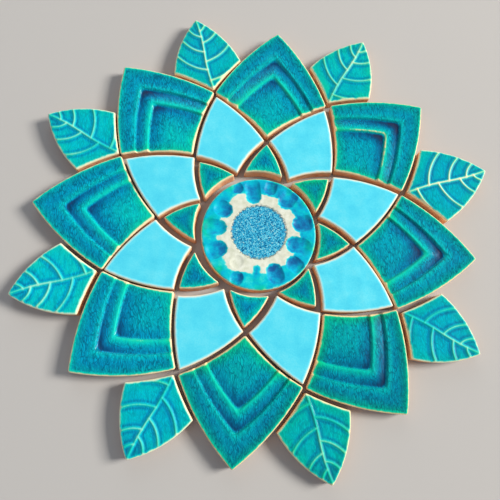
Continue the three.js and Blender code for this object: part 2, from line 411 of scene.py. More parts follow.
@dataclass(frozen=True)
class Glaze:
    """What all the glazes share: they run over the softened edge of a tile and stop on its wall."""

    name: str
    clay: Clay = Clay()
    stop: float = -0.55
    stop_fade: float = 0.25
    wander: float = 0.9
    wander_size: float = 2.5
    sheen: float = 0.1

    def coat(self, recipe: Recipe, place: Signal, edge: Signal) -> Coat:
        """The glazed face's look.

        Args:
            recipe: The material being made.
            place: Millimetres in the rosette's frame.
            edge: Millimetres in from the outline, with a little wander.

        Returns:
            The glaze as a layer.
        """
        raise NotImplementedError

    def material(self) -> bpy.types.Material:
        """Makes the whole tile's material.

        Returns:
            This glaze over bare clay.
        """
        recipe = Recipe(self.name, self.sheen)
        place = recipe.vector(Mark.PLACE)
        edge = recipe.value(Mark.RIM) + recipe.unrest(place, self.wander_size) * self.wander
        clay = self.clay.coat(recipe, place)
        glaze = self.coat(recipe, place, edge)
        glazed = edge.smooth(self.stop - self.stop_fade, self.stop + self.stop_fade)
        return recipe.finished(
            recipe.mix(glazed, clay.colour, glaze.colour),
            clay.roughness + (glaze.roughness - clay.roughness) * glazed,
            clay.height + (glaze.height - clay.height) * glazed,
        )


@dataclass(frozen=True)
class CrackleGlaze(Glaze):
    """A glossy glaze, crazed all over, that breaks pale where it is thin and goes deep where it pools."""

    # Colour by thickness, from bare to deeply pooled.
    tones: Stops = (
        (0.0, "#f2e2bc"),
        (0.06, "#eadcb0"),
        (0.11, "#8edcb4"),
        (0.16, "#18cdac"),
        (0.27, "#05cfc6"),
        (0.4, "#03bcca"),
        (0.52, "#02a9ca"),
        (0.63, "#0290be"),
        (0.75, "#0371a6"),
        (0.87, "#084a7e"),
        (1.0, "#2c3256"),
    )
    # How it thins towards the edge and over veins, and drifts from place to place.
    bleed_start: float = -0.1
    bleed: float = 2.5
    vein_break: float = 0.95
    drift: float = 0.2
    drift_size: float = 14.0
    # Streaks of the brush, drawn out further than the craze lines, with the same slow bends.
    brush: float = 0.24
    brush_size: float = 0.9
    brush_draw: float = 1.5
    bend: Pair = (9.0, 2.2)
    # Craze lines round drawn-out cells, in patches of wide and of fine ones.
    cell: float = 1.1
    lean: float = math.radians(14)
    draw: float = 5.0
    fray: Pair = (1.6, 0.2)
    patch: float = 2.5
    wide: Pair = (0.3, 0.55)
    fine: Pair = (0.7, 0.45)
    fine_cell: float = 0.55
    fine_strength: float = 0.7
    line: float = 0.23
    line_strength: float = 0.7
    line_tone: str = "#023a55"
    crazed: Pair = (0.1, 0.45)
    vein_clear: float = 0.6
    groove: float = 0.012
    # Tints by firing, which on the petals is partly painted light: warmer all over, and greener some way in
    # from the edge.
    warm: str = "#fff0dc"
    greener: str = "#f0ffb4"
    green: float = 1.0
    green_least: float = 0.45
    green_start: Pair = (0.6, 2.0)
    green_reach: float = 8.0
    # Surface: glossy, duller on lines, veins and pools, with a faint orange peel.
    gloss: float = 0.18
    line_rough: float = 0.05
    vein_rough: float = 0.3
    vein_foot: float = 0.25
    pooled: Pair = (0.55, 0.85)
    pool_rough: float = 0.1
    peel: float = 0.012
    peel_size: float = 1.6

    def crackle(self, recipe: Recipe, place: Signal) -> Signal:
        """The net of craze lines.

        Args:
            recipe: The material being made.
            place: Millimetres in the rosette's frame.

        Returns:
            1 on a line, 0 off it.
        """
        curled = recipe.shaken(recipe.shaken(place, *self.bend), *self.fray)
        run = recipe.drawn_out(curled, self.lean, self.draw)
        patch = recipe.noise(run, self.patch)
        wide = recipe.cracks(run, self.cell).smooth(self.line, 0.0)
        fine = recipe.cracks(run, self.fine_cell * self.cell).smooth(self.line, 0.0)
        wide = wide * patch.smooth(*self.wide)
        fine = fine * patch.smooth(*self.fine)
        return wide.math("MAXIMUM", wide, fine * self.fine_strength)

    def thickness(self, recipe: Recipe, place: Signal) -> Signal:
        """How thick the glaze lies, with its drift and the streaks of the brush.

        Args:
            recipe: The material being made.
            place: Millimetres in the rosette's frame.

        Returns:
            The thickness, about 0 to 1.
        """
        drift = recipe.unrest(place, self.drift_size, Detail.ROUGH) * self.drift
        bent = recipe.shaken(place, *self.bend)
        run = recipe.drawn_out(bent, self.lean, self.brush_draw * self.draw)
        streaks = recipe.unrest(run, self.brush_size) * self.brush
        return recipe.value(Mark.GLAZE) + drift + streaks

    def coat(self, recipe: Recipe, place: Signal, edge: Signal) -> Coat:
        """The glaze's colour by its thickness, crazed.

        Args:
            recipe: The material being made.
            place: Millimetres in the rosette's frame.
            edge: Millimetres in from the outline, with a little wander.

        Returns:
            The glaze as a layer.
        """
        cover = edge.smooth(self.bleed_start, self.bleed)
        raised = recipe.value(Mark.RAISED)
        fired = recipe.value(Mark.FIRED)
        thickness = self.thickness(recipe, place)
        colour = recipe.ramp(thickness * cover * (1 - raised * self.vein_break), self.tones)
        colour = recipe.mix(fired, colour, tone(self.warm), Blend.TINT)
        green = edge.smooth(self.green_reach, 0.0) * edge.smooth(*self.green_start)
        green = green * (self.green_least + (1 - self.green_least) * fired) * self.green
        colour = recipe.mix(green, colour, tone(self.greener), Blend.TINT)
        lines = self.crackle(recipe, place) * cover * thickness.smooth(*self.crazed)
        lines = lines * raised.smooth(self.vein_clear, 0.0)
        colour = recipe.mix(lines * self.line_strength, colour, tone(self.line_tone))
        rough = self.gloss + lines * self.line_rough
        rough = rough + raised.smooth(0.0, self.vein_foot) * self.vein_rough
        rough = rough + thickness.smooth(*self.pooled) * self.pool_rough
        peel = recipe.noise(place, self.peel_size)
        return Coat(colour, rough, peel * self.peel - lines * self.groove)


@dataclass(frozen=True)
class SatinGlaze(Glaze):
    """A plain satin glaze, faintly clouded, that breaks white along the edge."""

    tones: Stops = (
        (0.0, "#d8b98a"),
        (0.14, "#e6d8bc"),
        (0.32, "#dce2d6"),
        (0.5, "#a2e0e4"),
        (0.68, "#77e0ed"),
        (0.86, "#53d2e8"),
        (1.0, "#3dc1e0"),
    )
    bleed_start: float = -0.5
    bleed: float = 2.3
    cloud: float = 0.3
    cloud_size: float = 9.0
    cloud_rough: float = 0.15
    speckle: float = 0.16
    speckle_size: float = 0.9
    gloss: float = 0.3
    peel: float = 0.03
    peel_size: float = 2.2

    def coat(self, recipe: Recipe, place: Signal, edge: Signal) -> Coat:
        """The clouded face and white edge.

        Args:
            recipe: The material being made.
            place: Millimetres in the rosette's frame.
            edge: Millimetres in from the outline, with a little wander.

        Returns:
            The glaze as a layer.
        """
        cloud = recipe.unrest(place, self.cloud_size, Detail.ROUGH)
        speckle = recipe.unrest(place, self.speckle_size)
        body = recipe.value(Mark.GLAZE) + cloud * self.cloud + speckle * self.speckle
        colour = recipe.ramp(body * edge.smooth(self.bleed_start, self.bleed), self.tones)
        peel = recipe.noise(place, self.peel_size)
        return Coat(colour, self.gloss + cloud * self.cloud_rough, peel * self.peel)


@dataclass(frozen=True)
class CentreGlaze(Glaze):
    """The round tile's finish: blue pooled in dimples, a bare pale ring and a speckled pan."""

    # The dimpled band: its colour by thickness, uneven, greener in patches near the rim.
    tones: Stops = (
        (0.0, "#f2e9c4"),
        (0.1, "#bfeedd"),
        (0.22, "#3ad2cf"),
        (0.4, "#0bc0cc"),
        (0.56, "#0aa9ca"),
        (0.74, "#1282b4"),
        (1.0, "#1a5490"),
    )
    bleed_start: float = -0.5
    bleed: float = 1.4
    drift: float = 1.5
    drift_size: float = 5.0
    mottle: float = 0.3
    mottle_size: float = 1.0
    verdant: str = "#f0ffc4"
    verdant_size: float = 11.0
    verdant_patch: Pair = (0.48, 0.68)
    verdant_reach: Pair = (9.0, 2.0)
    # The bare ring of pale slip.
    slip: Stops = (
        (0.3, "#c6ccb8"),
        (0.5, "#d4d9c8"),
        (0.7, "#dfe4d6"),
    )
    slip_size: float = 3.0
    # The pan: specks over fine clouds, with a ragged, scorched border.
    pan: Stops = (
        (0.15, "#0c2e4c"),
        (0.34, "#125c8c"),
        (0.5, "#1d8cba"),
        (0.66, "#30aed2"),
        (0.84, "#74c8d8"),
        (1.0, "#a8d2cc"),
    )
    speck: float = 0.6
    speck_share: float = 0.5
    speck_fray: Pair = (0.5, 0.2)
    cloud_share: float = 1.2
    cloud_size: float = 0.7
    pan_shift: float = -0.25
    grain_fray: float = 0.5
    grain_edge: Pair = (0.3, 0.7)
    scorch: str = "#6d6c50"
    scorch_strength: float = 2.8
    scorch_specks: Pair = (0.2, 0.6)
    # Surface: satin on the glaze, dull and sandy on the ring and the pan.
    gloss: float = 0.34
    bare_rough: float = 0.5
    grain_rough: float = 0.3
    sand: float = 0.6
    sand_height: float = 0.02
    bare_height: float = 0.05
    grain_height: float = 0.12
    sheen: float = 0.06

    def coat(self, recipe: Recipe, place: Signal, edge: Signal) -> Coat:
        """The dimpled band, the ring and the pan.

        Args:
            recipe: The material being made.
            place: Millimetres in the rosette's frame.
            edge: Millimetres in from the outline, with a little wander.

        Returns:
            The glaze as a layer.
        """
        specks = recipe.specks(recipe.shaken(place, *self.speck_fray), self.speck)
        bare = recipe.value(Mark.BARE)
        border = recipe.value(Mark.GRAIN)
        grain = (border + (specks - 0.5) * self.grain_fray).smooth(*self.grain_edge)
        slip = recipe.ramp(recipe.noise(place, self.slip_size, Detail.CRISP), self.slip)
        cloud = recipe.noise(place, self.cloud_size, Detail.CRISP) * self.cloud_share
        pan = recipe.ramp(specks * self.speck_share + cloud + self.pan_shift, self.pan)
        colour = recipe.mix(bare, self.band(recipe, place, edge), slip)
        colour = recipe.mix(grain, colour, pan)
        scorch = border * (1 - border) * self.scorch_strength * specks.smooth(*self.scorch_specks)
        colour = recipe.mix(scorch, colour, tone(self.scorch))
        rough = self.gloss + bare * self.bare_rough + grain * self.grain_rough
        sand = recipe.noise(place, self.sand, Detail.ROUGH)
        height = self.sand_height + bare * self.bare_height + grain * self.grain_height
        return Coat(colour, rough, sand * height)

    def band(self, recipe: Recipe, place: Signal, edge: Signal) -> Signal:
        """The dimpled band's colour.

        Args:
            recipe: The material being made.
            place: Millimetres in the rosette's frame.
            edge: Millimetres in from the outline, with a little wander.

        Returns:
            The colour.
        """
        drift = recipe.unrest(place, self.drift_size, Detail.CRISP)
        mottle = recipe.unrest(place, self.mottle_size, Detail.ROUGH)
        thickness = recipe.value(Mark.GLAZE) * (1 + drift * self.drift) + mottle * self.mottle
        glazed = recipe.ramp(thickness * edge.smooth(self.bleed_start, self.bleed), self.tones)
        verdant = recipe.noise(place, self.verdant_size).smooth(*self.verdant_patch)
        verdant = verdant * edge.smooth(*self.verdant_reach)
        return recipe.mix(verdant, glazed, tone(self.verdant), Blend.TINT)


@dataclass(frozen=True)
class Arc:
    """One edge of a tile, an arc of a circle in plan."""

    centre: np.ndarray
    radius: float
    start: float
    sweep: float

    @classmethod
    def through(cls, points: np.ndarray) -> "Arc":
        """The arc from the first of some points to the last.

        Args:
            points: At least three points on it, in order.

        Returns:
            The arc.
        """
        first, middle, last = points[0], points[len(points) // 2], points[-1]
        (bx, by), (cx, cy) = middle - first, last - first
        b_square, c_square = bx * bx + by * by, cx * cx + cy * cy
        twice = 2 * (bx * cy - by * cx)
        offset = np.array([cy * b_square - by * c_square, bx * c_square - cx * b_square]) / twice
        centre = first + offset
        start = math.atan2(*(first - centre)[::-1])
        sweep = math.remainder(math.atan2(*(last - centre)[::-1]) - start, 2 * math.pi)
        return cls(centre, float(np.hypot(*offset)), start, sweep)

    def at(self, shares: np.ndarray | float) -> np.ndarray:
        """Points at some shares of the way along."""
        angles = self.start + self.sweep * np.asarray(shares)
        return self.centre + self.radius * np.stack([np.cos(angles), np.sin(angles)], axis=-1)

    def away(self, points: np.ndarray) -> np.ndarray:
        """How far some points lie from the arc's circle."""
        return np.abs(np.linalg.norm(points - self.centre, axis=-1) - self.radius)

    def leaving(self, at_end: bool) -> np.ndarray:
        """The direction in which the arc leaves one of its ends, towards the other.

        Args:
            at_end: Whether that is its second end.

        Returns:
            The direction, of length 1.
        """
        angle = self.start + self.sweep * at_end
        turn = np.sign(self.sweep) * (-1 if at_end else 1)
        return turn * np.array([-math.sin(angle), math.cos(angle)])

    def length(self) -> float:
        """The arc's length."""
        return abs(self.sweep) * self.radius


@dataclass(frozen=True)
class Outline:
    """A tile's plan in its own frame: four arcs, from its inner corner to its tip on either side."""

    origin: np.ndarray
    heading: float
    inner_right: Arc
    outer_right: Arc
    inner_left: Arc
    outer_left: Arc
    height: float

    @staticmethod
    def back_of(node: str) -> np.ndarray:
        """The corners of a solid's flat back.

        Args:
            node: The solid's name.

        Returns:
            Its outline's points in millimetres, in order against the clock.
        """
        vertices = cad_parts[node].data.vertices
        places = np.empty(len(vertices) * 3)
        vertices.foreach_get("co", places)
        places = places.reshape(-1, 3) / MM
        back = np.unique(np.round(places[places[:, 2] < BACK_LEVEL, :2], 3), axis=0)
        around = back - back.mean(axis=0)
        return back[np.argsort(np.arctan2(around[:, 1], around[:, 0]))]

    @staticmethod
    def drawn_in(loop: np.ndarray, by: float) -> np.ndarray:
        """A loop of points, against the clock, with every side of it moved in.

        Args:
            loop: The points, in order.
            by: How far the sides move.

        Returns:
            The points of the smaller loop.
        """
        ways = np.roll(loop, -1, axis=0) - loop
        ways /= np.linalg.norm(ways, axis=1, keepdims=True)
        inward = np.stack([-ways[:, 1], ways[:, 0]], axis=1)
        both = inward + np.roll(inward, 1, axis=0)
        return loop + both * (2 * by / (both**2).sum(axis=1, keepdims=True))

    @classmethod
    def of_kite(cls, node: str, splay: float) -> "Outline":
        """The plan of a tile with a tip and two shoulders, and an inner corner or a hollow base.

        Args:
            node: The name of the tile's solid.
            splay: How far the foot of its walls stands out beyond their top.

        Returns:
            Its plan, in a frame that starts at the inner end and runs out to the tip.
        """
        loop = cls.back_of(node)
        after, before = np.roll(loop, -1, axis=0) - loop, loop - np.roll(loop, 1, axis=0)
        cross = before[:, 0] * after[:, 1] - before[:, 1] * after[:, 0]
        sharp = np.arctan2(cross, (before * after).sum(axis=1)) > CORNER_TURN
        kept = ~(np.roll(sharp, 1) | np.roll(sharp, -1))
        loop = cls.drawn_in(loop[kept], splay)
        corners = np.flatnonzero(sharp[kept])
        tip = corners[np.argmax(np.linalg.norm(loop[corners], axis=1))]
        loop = np.roll(loop, -tip, axis=0)
        left, *inner, right = sorted((corners - tip) % len(loop))[1:]
        base = inner[0] if inner else (left + right) // 2
        origin = loop[base]
        axis = loop[0] - origin
        heading = math.atan2(axis[1], axis[0])
        local = (loop - origin) @ turned(heading)
        closed = np.vstack([local, local[:1]])
        return cls(
            origin=origin,
            heading=heading,
            inner_right=Arc.through(closed[base:right + 1]),
            outer_right=Arc.through(closed[right:]),
            inner_left=Arc.through(closed[left:base + 1][::-1]),
            outer_left=Arc.through(closed[:left + 1][::-1]),
            height=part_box(node)[1].z / MM,
        )

    @classmethod
    def of_round(cls, node: str, splay: float) -> "Outline":
        """The plan of a round tile, as four quarter arcs about its own centre.

        Args:
            node: The name of the tile's solid.
            splay: How far the foot of its wall stands out beyond the top.

        Returns:
            Its plan.
        """
        low, high = (np.array(corner.xy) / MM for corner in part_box(node))
        radius = float((high - low).max() / 2) - splay
        quarter = math.pi / 2
        zero = np.zeros(2)
        return cls(
            origin=(low + high) / 2,
            heading=0.0,
            inner_right=Arc(zero, radius, -2 * quarter, quarter),
            outer_right=Arc(zero, radius, -quarter, quarter),
            inner_left=Arc(zero, radius, 2 * quarter, -quarter),
            outer_left=Arc(zero, radius, quarter, -quarter),
            height=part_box(node)[1].z / MM,
        )

    def arcs(self) -> tuple[Arc, Arc, Arc, Arc]:
        """The four edges."""
        return self.inner_right, self.outer_right, self.inner_left, self.outer_left

    def laid(self, points: np.ndarray) -> np.ndarray:
        """Points of the plan, moved from the tile's own frame to where it lies in the rosette."""
        return points @ turned(self.heading).T + self.origin

    def tip(self) -> np.ndarray:
        """The outermost corner."""
        return self.outer_right.at(1.0)

    def corner_rounds(self, radius: float) -> list[tuple[np.ndarray, np.ndarray, np.ndarray]]:
        """Where the plan's corners are rounded.

        Args:
            radius: The rounding's radius.

        Returns:
            For each sharp corner, the rounding's centre and the two ways along the edges.
        """
        pairs = (
            (self.inner_right, False, self.inner_left, False),
            (self.inner_right, True, self.outer_right, False),
            (self.outer_right, True, self.outer_left, True),
            (self.inner_left, True, self.outer_left, False),
        )
        rounds = []
        for first, first_end, second, second_end in pairs:
            one, two = first.leaving(first_end), second.leaving(second_end)
            half = math.acos(float(np.clip(one @ two, -1, 1))) / 2
            if half < SHARP_HALF:
                middle = (one + two) / np.linalg.norm(one + two)
                corner = first.at(float(first_end))
                rounds.append((corner + middle * radius / math.sin(half), one, two))
        return rounds


def turned(angle: float) -> np.ndarray:
    """The matrix that takes row vectors into a frame turned by an angle."""
    cos, sin = math.cos(angle), math.sin(angle)
    return np.array([[cos, -sin], [sin, cos]])


class Plan:
    """A grid of points spread over a tile's face between its four edges."""

    def __init__(self, outline: Outline, lines: np.ndarray, rounding: float) -> None:
        """Spreads the grid.

        Args:
            outline: The tile's plan.
            lines: Shares of the way across at which the grid's lines lie, from 0 to 1.
            rounding: Radius of the corners.
        """
        self.outline = outline
        self.rounds = outline.corner_rounds(rounding)
        self.rounding = rounding
        self.s, self.t = np.meshgrid(lines, lines, indexing="ij")
        edges = [self.rounded(arc.at(lines)) for arc in outline.arcs()]
        inner_right, outer_right, inner_left, outer_left = edges
        s, t = self.s[..., None], self.t[..., None]
        sides = (
            inner_right[:, None] * (1 - t) + outer_left[:, None] * t
            + inner_left[None] * (1 - s) + outer_right[None] * s
        )
        corners = (
            inner_right[0] * (1 - s) * (1 - t) + inner_right[-1] * s * (1 - t)
            + inner_left[-1] * (1 - s) * t + outer_right[-1] * s * t
        )
        self.points = sides - corners
        self.rim = self.rim_distance()

    def rounded(self, points: np.ndarray) -> np.ndarray:
        """Points of the edge, moved in where a corner is rounded.

        Args:
            points: The points.

        Returns:
            The points after the move.
        """
        moved = points.copy()
        for centre, one, two in self.rounds:
            out = moved - centre
            beyond = (out @ one < 0) & (out @ two < 0)
            reach = np.linalg.norm(out, axis=-1, keepdims=True)
            moved = np.where(beyond[..., None], centre + out / reach * self.rounding, moved)
        return moved

    def rim_distance(self) -> np.ndarray:
        """How far in each point of the grid lies.

        Returns:
            Its distance from the rounded outline.
        """
        rim = np.min([arc.away(self.points) for arc in self.outline.arcs()], axis=0)
        for centre, one, two in self.rounds:
            out = self.points - centre
            beyond = (out @ one < 0) & (out @ two < 0)
            rim = np.where(beyond, self.rounding - np.linalg.norm(out, axis=-1), rim)
        return np.maximum(rim, 0)


@dataclass
class Carving:
    """A tile's worked face: how far it lies below the blank's top, and what its finish is told."""

    drop: np.ndarray
    marks: dict[Mark, np.ndarray]


@dataclass
class TileKind:
    """What the five kinds of tile share: a slab with a soft top edge, cut walls and a flat back."""

    slot: str
    finish: Glaze
    thickness: float = 8.5
    corner_round: float = 0.8
    # The grid over the face: its lines over the soft edge, some more at shares of it, the spacing inside.
    soft_edge: float = 1.2
    bend_lines: int = 7
    border_lines: tuple[float, ...] = (1.35, 1.8, 2.4)
    spacing: float = 0.8
    # The walls: how unevenly they were cut, less so near the top, and how far the foot stands out.
    wall_rows: int = 7
    wall_cut: float = 0.25
    cut_lengths: Pair = (7.0, 2.6)
    cut_growth: float = 3.0
    splay: float = 0.0
    back_edge: float = 0.4
    # How the face sags, and how far apart the patterns of two tiles are taken.
    sag: float = 0.08
    sag_length: float = 22.0
    pattern_shift: float = 100.0

    def nodes(self) -> list[str]:
        """The solids that these tiles stand for."""
        raise NotImplementedError

    def outline(self, node: str) -> Outline:
        """The plan of the tile that stands for a solid."""
        return Outline.of_kite(node, self.splay)

    def lines(self, outline: Outline) -> np.ndarray:
        """The grid's lines: close together over the soft edge, even between.

        Args:
            outline: The tile's plan.

        Returns:
            Shares of the way across, from 0 to 1.
        """
        length = max(arc.length() for arc in outline.arcs())
        bend = 1 - np.cos(np.linspace(0, math.pi / 2, self.bend_lines))
        border = np.concatenate([bend, self.border_lines]) * self.soft_edge / length
        even = np.linspace(border[-1], 1 - border[-1], max(2, round(length / self.spacing)))
        return np.concatenate([border[:-1], even, 1 - border[-2::-1]])

    def carve(self, plan: Plan, index: int) -> Carving:
        """The worked face of one tile.

        Args:
            plan: The grid over its face.
            index: Its number in its ring, from 0.

        Returns:
            The carving.
        """
        raise NotImplementedError

    def build(self) -> list[bpy.types.Object]:
        """Makes and dresses every tile of this kind.

        Returns:
            The pieces, riding on the part's body.
        """
        material = self.finish.material()
        return [self.tile(node, index, material) for index, node in enumerate(self.nodes())]

    def tile(self, node: str, index: int, material: bpy.types.Material) -> bpy.types.Object:
        """Makes one tile.

        Args:
            node: The solid that it stands for.
            index: Its number in its ring, from 0.
            material: Its finish.

        Returns:
            The piece.
        """
        outline = self.outline(node)
        plan = Plan(outline, self.lines(outline), self.corner_round)
        skin = self.skin(plan, self.carve(plan, index), index)
        piece = skin.piece(f"glazed_{node}", material)
        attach(piece, "root")
        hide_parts(node)
        return piece

    def skin(self, plan: Plan, carving: Carving, index: int) -> "Skin":
        """The closed skin of one tile.

        Args:
            plan: The grid over its face.
            carving: Its worked face.
            index: Its number in its ring, from 0.

        Returns:
            The skin, where the tile lies.
        """
        inside = np.clip(self.soft_edge - plan.rim, 0, self.soft_edge)
        fall = self.soft_edge - np.sqrt(self.soft_edge**2 - inside**2)
        seed = sum(map(ord, self.slot)) + index
        sag = waves(plan.points, self.sag_length, seed) * self.sag
        z = self.thickness - fall - carving.drop - np.abs(sag)
        top = np.concatenate([plan.outline.laid(plan.points), z[..., None]], axis=-1)
        marks = {Mark.RIM: plan.rim, **carving.marks}
        for mark in (Mark.RAISED, Mark.BARE, Mark.GRAIN, Mark.FIRED):
            marks.setdefault(mark, np.zeros_like(plan.rim))
        skin = Skin(top, marks, self.pattern_shift * (index + 1))
        skin.close(self, seed)
        return skin


def waves(points: np.ndarray, length: float, seed: int) -> np.ndarray:
    """Gentle unevenness over a surface.

    Args:
        points: Places, in any number of dimensions along the last axis.
        length: About how far apart its swells are.
        seed: Which surface it is.

    Returns:
        Heights from about -1 to 1.
    """
    rng = np.random.default_rng(seed)
    ways = rng.normal(size=(WAVE_COUNT, points.shape[-1]))
    pace = (2 * math.pi / length) * rng.uniform(*WAVE_PACE, (WAVE_COUNT, 1))
    ways *= pace / np.linalg.norm(ways, axis=1, keepdims=True)
    phases = rng.uniform(0, 2 * math.pi, WAVE_COUNT)
    return np.sin(points @ ways.T + phases).sum(axis=-1) / WAVE_COUNT * WAVE_GAIN


class Skin:
    """A tile's mesh while it is made: a face first, then walls and a back."""

    def __init__(self, top: np.ndarray, marks: dict[Mark, np.ndarray], offset: float) -> None:
        """Starts with the face.

        Args:
            top: The face's grid of points, in millimetres.
            marks: What the finish is told at each of them.
            offset: How far this tile's patterns are shifted from another's.
        """
        rows, columns = top.shape[:2]
        self.offset = offset
        self.points = top.reshape(-1, 3)
        self.marks = {mark: values.reshape(-1) for mark, values in marks.items()}
        order = np.arange(rows * columns).reshape(rows, columns)
        quads = (order[:-1, :-1], order[1:, :-1], order[1:, 1:], order[:-1, 1:])
        self.quads = np.stack(quads, axis=-1).reshape(-1, 4)
        self.border = np.concatenate(
            [order[:-1, 0], order[-1, :-1], order[:0:-1, -1], order[0, :0:-1]]
        )

    def close(self, kind: TileKind, seed: int) -> None:
        """Adds cut walls below the face's border, and leaves the last row as the back's edge.

        Args:
            kind: The sizes of the tile.
            seed: Which tile it is.
        """
        border = self.points[self.border]
        along = np.roll(border, -1, axis=0) - np.roll(border, 1, axis=0)
        outward = np.stack([along[:, 1], -along[:, 0]], axis=1)
        outward /= np.linalg.norm(outward, axis=1, keepdims=True)
        long, short = kind.cut_lengths
        for share in np.linspace(0, 1, kind.wall_rows)[1:]:
            row = border.copy()
            row[:, 2] += share * (kind.back_edge - row[:, 2])
            cut = (waves(row, long, seed) + waves(row, short, seed + 1)) / 2
            depth = kind.wall_cut * np.clip((1 + cut) / 2, 0, 1) * min(1.0, kind.cut_growth * share)
            row[:, :2] += outward * (kind.splay * share - depth[:, None])
            self.add_row(row, border[:, 2] - row[:, 2])
        foot = border.copy()
        foot[:, 2] = 0
        foot[:, :2] += outward * (kind.splay - kind.wall_cut - kind.back_edge)
        self.add_row(foot, border[:, 2])

    def add_row(self, row: np.ndarray, depth: np.ndarray) -> None:
        """Adds one row of wall.

        Args:
            row: Its points, in the border's order.
            depth: How far each lies below the border.
        """
        above = self.border
        below = np.arange(len(row)) + len(self.points)
        self.points = np.vstack([self.points, row])
        for mark, values in self.marks.items():
            added = -depth if mark is Mark.RIM else values[above]
            self.marks[mark] = np.concatenate([values, added])
        wall = (above, below, np.roll(below, -1), np.roll(above, -1))
        self.quads = np.vstack([self.quads, np.stack(wall, axis=-1)])
        self.border = below

    def piece(self, name: str, material: bpy.types.Material) -> bpy.types.Object:
        """The finished mesh as an object.

        Args:
            name: The object's name.
            material: Its finish.

        Returns:
            The object, linked to the scene.
        """
        mesh = bpy.data.meshes.new(name)
        # After the quads, the back is one face with all the corners that are left.
        corners = np.concatenate([self.quads.reshape(-1), self.border[::-1]])
        starts = np.arange(len(self.quads) + 1) * 4
        mesh.vertices.add(len(self.points))
        mesh.vertices.foreach_set("co", (self.points * MM).reshape(-1))
        mesh.loops.add(len(corners))
        mesh.loops.foreach_set("vertex_index", corners)
        mesh.polygons.add(len(starts))
        mesh.polygons.foreach_set("loop_start", starts)
        mesh.polygons.foreach_set("use_smooth", starts < starts[-1])
        mesh.update(calc_edges=True)
        for mark, values in self.marks.items():
            mesh.attributes.new(mark.value, "FLOAT", "POINT").data.foreach_set("value", values)
        place = self.points + (0, 0, self.offset)
        vectors = mesh.attributes.new(Mark.PLACE.value, "FLOAT_VECTOR", "POINT")
        vectors.data.foreach_set("vector", place.reshape(-1))
        mesh.materials.append(material)
        made = bpy.data.objects.new(name, mesh)
        bpy.context.scene.collection.objects.link(made)
        return made


@dataclass(frozen=True)
class Dimple:
    """A thumb mark in the round tile, round at its inner end and open towards the rim."""

    degrees: float  # round from the first petal
    start: float  # how far out the middle of its round end lies
    half: float  # half its width
    length: float  # how far it runs on towards the rim
    blue: float  # how deep the blue pooled in it


@dataclass(frozen=True)
class Bay:
    """A place where the round tile's bare ring reaches further out."""

    degrees: float  # round from the first petal
    spread: float  # in degrees
    reach: float


